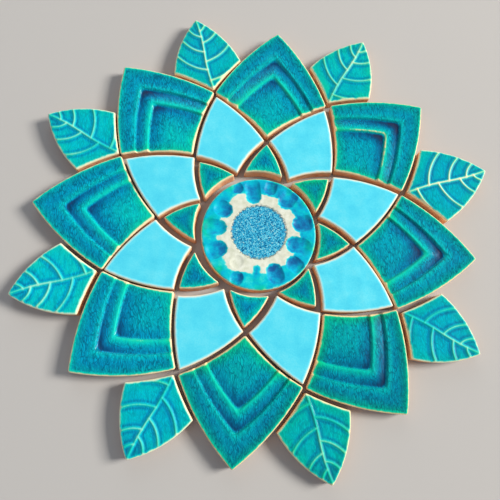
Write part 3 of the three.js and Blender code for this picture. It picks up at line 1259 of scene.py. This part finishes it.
@dataclass
class CentreTile(TileKind):
    """The round tile: thumb dimples in a glazed band, a bare ring, and a grainy pan in the middle."""

    slot: str = "centre_glaze"
    finish: Glaze = CentreGlaze("centre_finish")
    splay: float = 0.6
    spacing: float = 0.26
    pan_radius: float = 16.4
    pan_lie: Pair = (0.0, 0.9)
    pan_drop: float = 0.5
    pan_edge: Pair = (1.2, -1.0)
    grit: float = 0.16
    grit_seed: int = 43
    # The band's inner edge: its radius, the length and height of its swells, and those of its tatters.
    band: float = 24.4
    swells: Pair = (9.0, 0.7)
    swell_seed: int = 42
    tatters: Pair = (3.2, 0.45)
    tatter_seed: int = 41
    bays: tuple[Bay, ...] = (Bay(128, 20, 2.8), Bay(237, 18, 3.2))
    slip_edge: float = 0.2
    slip_tatters: float = 0.6
    # The glaze: how thick it lies, most on one side and in dimples, least along the band's inner edge.
    depth: float = 0.5
    deep_side: float = 30.0
    deeper: float = 0.08
    pool_gain: float = 0.48
    halo: float = 1.6
    halo_least: float = 0.45
    lip: float = 0.1
    # The dimples: depth as a share of half the width, and how cup and pool are shaped.
    dimple_depth: float = 0.28
    bare_depth: float = 0.5
    cup_round: float = 2.6
    shallow: float = 0.6
    pool_round: float = 0.3
    pool_reach: float = 0.6
    pool_least: float = 0.35
    dimples: tuple[Dimple, ...] = (
        Dimple(20, 26.0, 5.2, 3.0, 0.6),
        Dimple(57, 26.1, 5.0, 4.0, 0.3),
        Dimple(82, 28.3, 3.8, 3.0, 0.45),
        Dimple(104, 23.1, 4.7, 7.0, 0.5),
        Dimple(121, 30.5, 3.4, 1.0, 0.55),
        Dimple(152, 25.2, 5.2, 1.5, 0.6),
        Dimple(179, 24.2, 4.9, 5.0, 0.35),
        Dimple(209, 25.6, 5.1, 4.0, 0.85),
        Dimple(251, 30.0, 4.0, 1.0, 0.85),
        Dimple(298, 24.9, 5.1, 3.0, 0.9),
        Dimple(325, 27.3, 4.6, 3.0, 0.6),
        Dimple(349, 22.6, 5.4, 5.0, 0.35),
    )
    bare_dimple: Dimple = Dimple(240, 21.5, 3.9, 1.0, 0.0)
    glaze_run: Dimple = Dimple(273, 21.5, 2.2, 8.0, 0.4)

    def nodes(self) -> list[str]:
        """The one round solid."""
        return ["centre_tile"]

    def outline(self, node: str) -> Outline:
        """The round plan."""
        return Outline.of_round(node, self.splay)

    def scoop(self, points: np.ndarray, dimple: Dimple) -> tuple[np.ndarray, np.ndarray, np.ndarray]:
        """The shape of one dimple, which shallows towards the rim.

        Args:
            points: Where it is wanted.
            dimple: The dimple.

        Returns:
            How far outside its edge each point lies, its depth there from 0 to 1, and how much
            glaze pooled there, most at the inner end.
        """
        turn = math.radians(dimple.degrees)
        out = points @ np.array([math.cos(turn), math.sin(turn)])
        aside = points @ np.array([-math.sin(turn), math.cos(turn)])
        start, half, end = dimple.start, dimple.half, dimple.start + dimple.length
        away = np.hypot(out - np.clip(out, start, end), aside)
        cup = np.clip(1 - (away / half) ** self.cup_round, 0, 1)
        inner = smooth(start + half, start - self.pool_reach * half, out)
        pool = dimple.blue * cup**self.pool_round * (self.pool_least + (1 - self.pool_least) * inner)
        return away - half, cup * (1 - self.shallow * smooth(start + half, end + half, out)), pool

    def carve(self, plan: Plan, index: int) -> Carving:
        """Presses the dimples and sinks the pan.

        Args:
            plan: The grid over its face.
            index: Its number in its ring, from 0; not used.

        Returns:
            The carving.
        """
        points = plan.points
        radius = np.linalg.norm(points, axis=-1)
        angle = np.degrees(np.arctan2(points[..., 1], points[..., 0]))
        tatters = waves(points, self.tatters[0], self.tatter_seed) * self.tatters[1]
        unglazed = self.band + waves(points, self.swells[0], self.swell_seed) * self.swells[1] - radius
        for bay in self.bays:
            aside = (angle - bay.degrees + 180) % 360 - 180
            unglazed = unglazed + hump(aside, bay.spread, bay.reach)
        drop = self.scoop(points, self.bare_dimple)[1] * self.bare_depth
        pool = np.zeros_like(radius)
        for dimple in (*self.dimples, self.glaze_run):
            outside, cup, blue = self.scoop(points, dimple)
            if dimple is not self.glaze_run:
                drop = np.maximum(drop, cup * self.dimple_depth * dimple.half)
            unglazed = np.minimum(unglazed, outside - self.lip)
            pool = np.maximum(pool, blue)
        from_pan = np.linalg.norm(points - self.pan_lie, axis=-1) - self.pan_radius
        in_pan = smooth(*self.pan_edge, from_pan + tatters)
        grit = np.random.default_rng(self.grit_seed).random(radius.shape) * self.grit
        halo = smooth(0.0, -self.halo, unglazed + tatters)
        glaze = self.depth + self.deeper * np.cos(np.radians(angle - self.deep_side)) + self.pool_gain * pool
        marks = {
            Mark.GLAZE: glaze * (self.halo_least + (1 - self.halo_least) * halo),
            Mark.BARE: smooth(-self.slip_edge, self.slip_edge, unglazed + tatters * self.slip_tatters),
            Mark.GRAIN: in_pan,
        }
        return Carving(drop + in_pan * (self.pan_drop - grit), marks)


@dataclass
class TileRing(TileKind):
    """Eight tiles of one kind round the centre."""

    name: str = ""
    fired: tuple[float, ...] = (0.5,) * TILES_PER_RING

    def nodes(self) -> list[str]:
        """The ring's eight solids, in order round from the first petal."""
        return [f"{self.name}_{number}" for number in range(1, TILES_PER_RING + 1)]

    def plain(self, plan: Plan, index: int, glaze: np.ndarray) -> dict[Mark, np.ndarray]:
        """What the finish is told on any tile of a ring.

        Args:
            plan: The grid over the face.
            index: The tile's number in its ring, from 0.
            glaze: The glaze's thickness over it.

        Returns:
            The marks.
        """
        return {Mark.GLAZE: glaze, Mark.FIRED: np.full_like(plan.rim, self.fired[index])}


@dataclass
class TriangleRing(TileRing):
    """The small hollow-based triangles next to the centre."""

    slot: str = "triangle_glaze"
    finish: Glaze = CrackleGlaze("triangle_finish", bleed=2.0, brush=0.18, line_strength=0.66)
    name: str = "triangle"
    splay: float = 0.7
    corner_round: float = 0.6
    spacing: float = 0.7
    fired: tuple[float, ...] = (0.6, 0.9, 0.2, 0.4, 0.4, 0.15, 0.0, 0.5)
    depth: tuple[float, ...] = (0.36, 0.31, 0.33, 0.34, 0.39, 0.41, 0.39, 0.36)
    deeper: float = 0.27
    middle: Pair = (0.5, 6.5)

    def carve(self, plan: Plan, index: int) -> Carving:
        """A flat face, its glaze deepest in the middle; arguments and result as in TileKind.carve."""
        glaze = self.depth[index] + self.deeper * smooth(*self.middle, plan.rim)
        return Carving(np.zeros_like(plan.rim), self.plain(plan, index, glaze))


@dataclass
class SkyRing(TileRing):
    """The plain sky-blue kites."""

    slot: str = "sky_glaze"
    finish: Glaze = SatinGlaze("sky_finish")
    name: str = "sky"
    spacing: float = 1.0
    depth: float = 0.86

    def carve(self, plan: Plan, index: int) -> Carving:
        """A flat, evenly glazed face; arguments and result as in TileKind.carve."""
        glaze = np.full_like(plan.rim, self.depth)
        return Carving(np.zeros_like(plan.rim), self.plain(plan, index, glaze))


@dataclass
class PetalRing(TileRing):
    """The petals, with two chevrons stepped into each."""

    slot: str = "petal_glaze"
    finish: Glaze = CrackleGlaze("petal_finish")
    name: str = "petal"
    spacing: float = 0.8
    corner_round: float = 1.5
    # The steps, as shares of the way across from the inner to the outer edges.
    outer: float = 0.79
    inner: float = 0.625
    step: float = 0.032
    step_lines: int = 11
    step_clear: float = 1.2
    flare: float = 0.03
    mitre: float = 0.05
    fill: float = 1.4
    # How far the face lies below the blank's top, in millimetres, and how its slopes curve.
    heel: float = 0.3
    inner_foot: float = 1.9
    inner_curve: float = 1.7
    ridge: float = 0.5
    outer_foot: float = 1.6
    outer_curve: float = 1.15
    dish: float = 0.25
    # The glaze away from the steps: deeper outward and on the band, thinner at the edge.
    depth: float = 0.43
    rise: float = 0.05
    rise_span: Pair = (0.1, 0.6)
    edge_thin: float = 0.1
    edge_reach: float = 3.0
    band_rise: float = 0.1
    band_reach: float = 0.08
    # The glaze at the steps: pooled at each foot, thin over each crest, broken along the inner ridge.
    pool: float = 0.5
    pool_round: float = 1.3
    pool_wall: Pair = (-0.6, 0.2)
    inner_reach: float = 0.065
    outer_reach: float = 0.06
    inner_crest: float = 0.25
    outer_crest: float = 0.12
    crest_width: float = 0.055
    break_place: float = 0.4
    break_width: float = 0.45
    break_span: Pair = (0.55, 0.3)
    # The pools are deepest at the chevrons' points, and painted shade deepens them further on the flanks
    # that face one way across the rosette.
    apex: float = 0.38
    apex_wide: Pair = (0.4, 0.42)
    apex_sharp: Pair = (0.11, 0.4)
    shade_facing: float = math.radians(104)
    flank: float = math.radians(50)
    crease: float = 0.1
    shade_mean: float = 0.95
    shade_gain: float = 0.15
    # What differs from petal to petal.
    # Each petal's tint is partly its firing and partly painted light, darker and greener towards the lower
    # right, bluer on the left.
    fired: tuple[float, ...] = (0.5, 0.5, 0.35, 0.15, 0.1, 0.1, 0.7, 0.85)
    bands: tuple[float, ...] = (0.0, -0.01, 0.01, 0.01, 0.02, 0.01, 0.03, 0.04)
    band_span: Pair = (0.45, 0.7)
    fields: tuple[float, ...] = (0.06, 0.0, -0.06, -0.1, -0.1, -0.03, -0.04, 0.0)
    field_span: Pair = (0.55, 0.3)
    breaks: tuple[float, ...] = (0.05, 0.18, 0.05, 0.0, 0.0, 0.05, 0.03, 0.0)
    pools: tuple[float, ...] = (1.25, 1.3, 0.8, 1.05, 0.95, 1.05, 1.1, 1.1)

    def lines(self, outline: Outline) -> np.ndarray:
        """The grid's lines, closer at the steps.

        Args:
            outline: The petal's plan.

        Returns:
            Shares of the way across, from 0 to 1.
        """
        near = np.linspace(-1.0, 1.0, self.step_lines) * self.step
        lines = super().lines(outline)
        for place in (self.inner, self.outer):
            lines = lines[np.abs(lines - place) > self.step_clear * self.step]
            lines = np.concatenate([lines, place + near])
        return np.sort(lines)

    def carve(self, plan: Plan, index: int) -> Carving:
        """Steps the chevrons in and pools the glaze.

        Args:
            plan: The grid over its face.
            index: Its number in its ring, from 0.

        Returns:
            The carving.
        """
        apart = np.abs(plan.s - plan.t)
        blend = np.clip(1 - apart / self.mitre, 0, 1)
        share = np.maximum(plan.s, plan.t) + blend * blend * self.mitre / 4 + self.flare * (1 - apart)
        half = self.step / 2 * (1 + self.fill * blend)
        to_inner = np.clip(share / (self.inner - half), 0, 1)
        to_outer = np.clip((share - self.inner - half) / (self.outer - self.inner - 2 * half), 0, 1)
        inside = self.heel + (self.inner_foot - self.heel) * to_inner**self.inner_curve
        middle = self.ridge + (self.outer_foot - self.ridge) * to_outer**self.outer_curve
        band = self.dish * np.sin(math.pi * np.clip((share - self.outer) / (1 - self.outer), 0, 1))
        past_inner = smooth(self.inner - half, self.inner + half, share)
        past_outer = smooth(self.outer - half, self.outer + half, share)
        drop = inside + (middle - inside) * past_inner
        drop = drop + (band - drop) * past_outer
        glaze = self.spread(plan, share) + self.pooled(plan, share, apart, index)
        glaze = glaze + self.fields[index] * smooth(*self.field_span, share)
        glaze = glaze + self.bands[index] * smooth(*self.band_span, share)
        return Carving(drop, self.plain(plan, index, glaze))

    def spread(self, plan: Plan, share: np.ndarray) -> np.ndarray:
        """How thick the glaze lies away from the steps.

        Args:
            plan: The grid over the face.
            share: How far across from the inner to the outer edges each point is.

        Returns:
            The thickness, 0 to 1.
        """
        glaze = self.depth + self.rise * smooth(*self.rise_span, share)
        glaze = glaze - self.edge_thin * np.exp(-plan.rim / self.edge_reach)
        return glaze + self.band_rise * smooth(self.outer, self.outer + self.band_reach, share)

    def pooled(self, plan: Plan, share: np.ndarray, apart: np.ndarray, index: int) -> np.ndarray:
        """How much thicker or thinner the glaze lies at the steps, with painted shade on the flanks that
        face one way.

        Args:
            plan: The grid over the face.
            share: How far across from the inner to the outer edges each point is.
            apart: How far each lies from the petal's middle line, in the same shares.
            index: The petal's number in its ring, from 0.

        Returns:
            What is added to the thickness.
        """
        # Painted shade: the pools grow deeper on flanks that face one way across the rosette, as light falls
        # on them.
        side = self.flank * np.sign(plan.t - plan.s) * smooth(0.0, self.crease, apart)
        facing_shade = np.cos(plan.outline.heading + side - self.shade_facing)
        apex = self.apex + hump(apart, *self.apex_wide) + hump(apart, *self.apex_sharp)
        strength = self.pool * self.pools[index] * apex * (self.shade_mean + self.shade_gain * facing_shade)
        broken = hump(share - self.inner - self.break_place * self.step, self.break_width * self.step)
        added = -self.breaks[index] * broken * smooth(*self.break_span, apart)
        steps = (
            (self.inner, self.inner_reach, self.inner_crest),
            (self.outer, self.outer_reach, self.outer_crest),
        )
        for place, reach, crest in steps:
            foot = place - self.step / 2 - share
            pool = np.exp(-((np.maximum(foot, 0) / reach) ** self.pool_round))
            pool = pool * smooth(*self.pool_wall, foot / self.step)
            past = share - place - self.step / 2
            added = added + strength * pool - hump(past, self.crest_width, crest)
        return added


LEAF_TONES: Stops = (
    (0.0, "#f6ecc6"),
    (0.08, "#d4edcf"),
    (0.17, "#80e0cb"),
    (0.27, "#0eccc2"),
    (0.38, "#00c1cf"),
    (0.5, "#00aecf"),
    (0.64, "#0392bc"),
    (0.8, "#0670a0"),
    (1.0, "#0a4c78"),
)


class Side(Enum):
    """A side of a leaf, seen from its base."""

    LEFT = 1
    RIGHT = -1


@dataclass(frozen=True)
class SideVein:
    """A vein that leaves a leaf's midrib: its root and its end as shares of the leaf's length."""

    side: Side
    root: float
    end: float


@dataclass
class LeafRing(TileRing):
    """The leaves at the rim, with raised veins."""

    slot: str = "leaf_glaze"
    finish: Glaze = CrackleGlaze(
        "leaf_finish", tones=LEAF_TONES, bleed=1.9, brush=0.18, line_strength=0.42, green=0.6
    )
    name: str = "leaf"
    corner_round: float = 0.9
    spacing: float = 0.36
    # The veins: their section, and the width of the pale line where the glaze breaks over them.
    vein_height: float = 0.8
    vein_width: float = 0.85
    vein_line: float = 0.88
    vein_edge: float = 1.5
    vein_points: int = 60
    # The midrib: where it starts and sways, as shares of the leaf's length, and its strength at the ends.
    rib_start: float = 0.02
    rib_ends: float = 0.75
    sway: float = 0.6
    sway_start: float = 0.04
    # The side veins: their strength, how they bow, and how far from the edge they stop.
    vein_root: float = 0.95
    vein_fade: float = 0.2
    bow: float = 0.6
    lead: float = 0.2
    margin: float = 0.6
    side_veins: tuple[SideVein, ...] = (
        SideVein(Side.LEFT, 0.27, 0.52),
        SideVein(Side.LEFT, 0.52, 0.71),
        SideVein(Side.LEFT, 0.735, 0.85),
        SideVein(Side.RIGHT, 0.12, 0.2),
        SideVein(Side.RIGHT, 0.385, 0.555),
        SideVein(Side.RIGHT, 0.65, 0.755),
        SideVein(Side.RIGHT, 0.82, 0.89),
    )
    # The glaze: darker beside the veins, partly pooled there and partly painted shade at the veins' sides;
    # thinner at the edge.
    pool: float = 0.22
    pool_and_shade_place: float = 1.9
    pool_and_shade_width: float = 0.9
    edge_thin: float = 0.05
    edge_reach: float = 3.0
    # What differs from leaf to leaf: firing, thickness, thicker tips, and worn veins, more so at the root.
    fired: tuple[float, ...] = (0.4, 0.6, 0.45, 0.2, 0.0, 0.15, 0.9, 0.4)
    depth: tuple[float, ...] = (0.46, 0.38, 0.42, 0.39, 0.36, 0.42, 0.42, 0.45)
    tips: tuple[float, ...] = (0.0, 0.02, 0.05, 0.1, 0.12, 0.12, 0.12, 0.04)
    tip_span: Pair = (0.68, 0.88)
    worn: tuple[float, ...] = (1.0, 0.74, 0.82, 0.68, 0.7, 0.66, 0.62, 0.7)
    rooted: tuple[float, ...] = (1.0, 0.75, 1.0, 0.62, 0.62, 0.66, 0.55, 0.6)
    root_span: Pair = (0.2, 0.65)

    def half_width(self, outline: Outline, x: float) -> float:
        """Half the leaf's width at a place along its axis.

        Args:
            outline: The leaf's plan.
            x: The place.

        Returns:
            The half width.
        """
        shoulder = outline.outer_right.at(0.0)[0]
        tip = outline.tip()[0]
        if x > shoulder:
            return -outline.outer_right.at((x - shoulder) / (tip - shoulder))[1]
        return -outline.inner_right.at(x / shoulder)[1]

    def rib(self, share: np.ndarray | float) -> np.ndarray:
        """How far the midrib sways to the side at some shares of the leaf's length."""
        swaying = (share - self.sway_start) / (1 - 2 * self.sway_start)
        return self.sway * np.sin(2 * math.pi * np.clip(swaying, 0, 1))

    def veins(self, outline: Outline) -> list[tuple[np.ndarray, np.ndarray]]:
        """The veins' lines.

        Args:
            outline: The leaf's plan.

        Returns:
            For each vein its points, and its strength along them.
        """
        length = outline.tip()[0]
        steps = np.linspace(0, 1, self.vein_points)
        shares = self.rib_start + (1 - 2 * self.rib_start) * steps
        midrib = np.stack([shares * length, self.rib(shares)], axis=-1)
        found = [(midrib, self.rib_ends + (1 - self.rib_ends) * np.sin(math.pi * steps))]
        u = steps[:, None]
        for vein in self.side_veins:
            reach = vein.side.value * (self.half_width(outline, vein.end * length) - self.margin)
            bend_at = vein.root + (vein.end - vein.root) * self.lead
            start = np.array([vein.root * length, float(self.rib(vein.root))])
            bend = np.array([bend_at * length, reach * self.bow])
            stop = np.array([vein.end * length, reach])
            curve = start * (1 - u) ** 2 + bend * 2 * u * (1 - u) + stop * u**2
            found.append((curve, self.vein_root - self.vein_fade * steps))
        return found

    def carve(self, plan: Plan, index: int) -> Carving:
        """Raises the veins and pools the glaze beside them, partly as painted shade.

        Args:
            plan: The grid over its face.
            index: Its number in its ring, from 0.

        Returns:
            The carving.
        """
        raised = np.zeros_like(plan.rim)
        bare = np.zeros_like(plan.rim)
        beside = np.full_like(plan.rim, np.inf)
        for curve, strengths in self.veins(plan.outline):
            gaps = np.linalg.norm(plan.points[..., None, :] - curve, axis=-1)
            gap = gaps.min(axis=-1)
            strength = strengths[gaps.argmin(axis=-1)]
            width = self.vein_width * (1 + strength) / 2
            raised = np.maximum(raised, hump(gap, width, strength))
            bare = 1 - (1 - bare) * (1 - hump(gap, self.vein_line, strength))
            beside = np.minimum(beside, gap)
        along = np.clip(plan.points[..., 0] / plan.outline.tip()[0], 0, 1)
        # Thicker glaze beside the veins: partly real pooling, partly painted shade at their sides.
        glaze = self.depth[index] + hump(beside - self.pool_and_shade_place, self.pool_and_shade_width, self.pool)
        glaze = glaze - self.edge_thin * np.exp(-plan.rim / self.edge_reach)
        glaze = glaze + self.tips[index] * smooth(*self.tip_span, along)
        marks = self.plain(plan, index, glaze)
        rooted = self.rooted[index]
        kept = rooted + (1 - rooted) * smooth(*self.root_span, along)
        marks[Mark.RAISED] = bare * self.worn[index] * kept
        return Carving(-self.vein_height * raised * smooth(0, self.vein_edge, plan.rim), marks)


@dataclass(frozen=True)
class Lamp:
    """A soft studio lamp."""

    name: str
    place: Point
    size: float
    power: float
    colour: str = "#ffffff"


@dataclass
class Studio:
    """The pale floor, the lamps and the camera, in metres."""

    floor_half: float = 3.0
    floor_tone: str = "#b4b3b0"
    floor_rough: float = 0.9
    floor_gap: float = 0.05 * MM
    ambient: float = 0.28
    ambient_tone: str = "#eef3ff"
    camera_place: Point = (-0.01171, -0.08494, 0.32118)
    camera_aim: Point = (-0.00275, -0.01201, 0.0085)
    camera_roll: float = math.radians(13.97)
    lens: float = 39.06
    lamps: tuple[Lamp, ...] = (
        Lamp("key_lamp", (3.4, 1.0, 2.48), 1.4, 280.0, "#fff8f0"),
        Lamp("fill_lamp", (-0.8, -0.5, 0.8), 0.9, 2.0, "#eaf2ff"),
        Lamp("back_lamp", (-0.2, 1.0, 0.5), 0.8, 2.5),
    )

    def build(self) -> None:
        """Sets the studio up."""
        self.lay_floor()
        self.hang_lamps()
        self.set_camera()

    def lay_floor(self) -> None:
        """Lays the plain floor just under the tiles' backs."""
        half = self.floor_half
        mesh = bpy.data.meshes.new("floor")
        corners = [(-half, -half), (half, -half), (half, half), (-half, half)]
        mesh.from_pydata([(x, y, -self.floor_gap) for x, y in corners], [], [(0, 1, 2, 3)])
        recipe = Recipe("floor_paint")
        sockets = {"Base Color": tone(self.floor_tone), "Roughness": self.floor_rough}
        recipe.end_at(recipe.node("ShaderNodeBsdfPrincipled", None, sockets))
        mesh.materials.append(recipe.material)
        floor = bpy.data.objects.new("floor", mesh)
        bpy.context.scene.collection.objects.link(floor)

    def hang_lamps(self) -> None:
        """Hangs the lamps and sets the light all round."""
        for lamp in self.lamps:
            light = bpy.data.lights.new(lamp.name, "AREA")
            light.size = lamp.size
            light.energy = lamp.power
            light.color = tone(lamp.colour)[:3]
            hung = bpy.data.objects.new(lamp.name, light)
            hung.location = lamp.place
            hung.rotation_euler = (-Vector(lamp.place)).to_track_quat("-Z", "Y").to_euler()
            bpy.context.scene.collection.objects.link(hung)
        world = bpy.data.worlds.new("room")
        world.use_nodes = True
        background = world.node_tree.nodes["Background"]
        background.inputs["Color"].default_value = tone(self.ambient_tone)
        background.inputs["Strength"].default_value = self.ambient
        bpy.context.scene.world = world
        bpy.context.scene.view_settings.view_transform = "Standard"

    def set_camera(self) -> None:
        """Points the camera down at the rosette, turned a little."""
        lens = bpy.data.cameras.new("camera")
        lens.lens = self.lens
        camera = bpy.data.objects.new("camera", lens)
        camera.location = self.camera_place
        look = Vector(self.camera_aim) - Vector(self.camera_place)
        camera.rotation_euler = look.to_track_quat("-Z", "Y").to_euler()
        camera.rotation_euler.rotate_axis("Z", self.camera_roll)
        bpy.context.scene.collection.objects.link(camera)
        bpy.context.scene.camera = camera


def main() -> None:
    """Builds the rosette and the studio."""
    logging.basicConfig(level=logging.INFO, format="%(name)s: %(message)s")
    for kind in (CentreTile(), TriangleRing(), SkyRing(), PetalRing(), LeafRing()):
        for piece in kind.build():
            LOG.info("%s: %d faces", piece.name, len(piece.data.polygons))
    Studio().build()


if __name__ == "__main__":
    main()
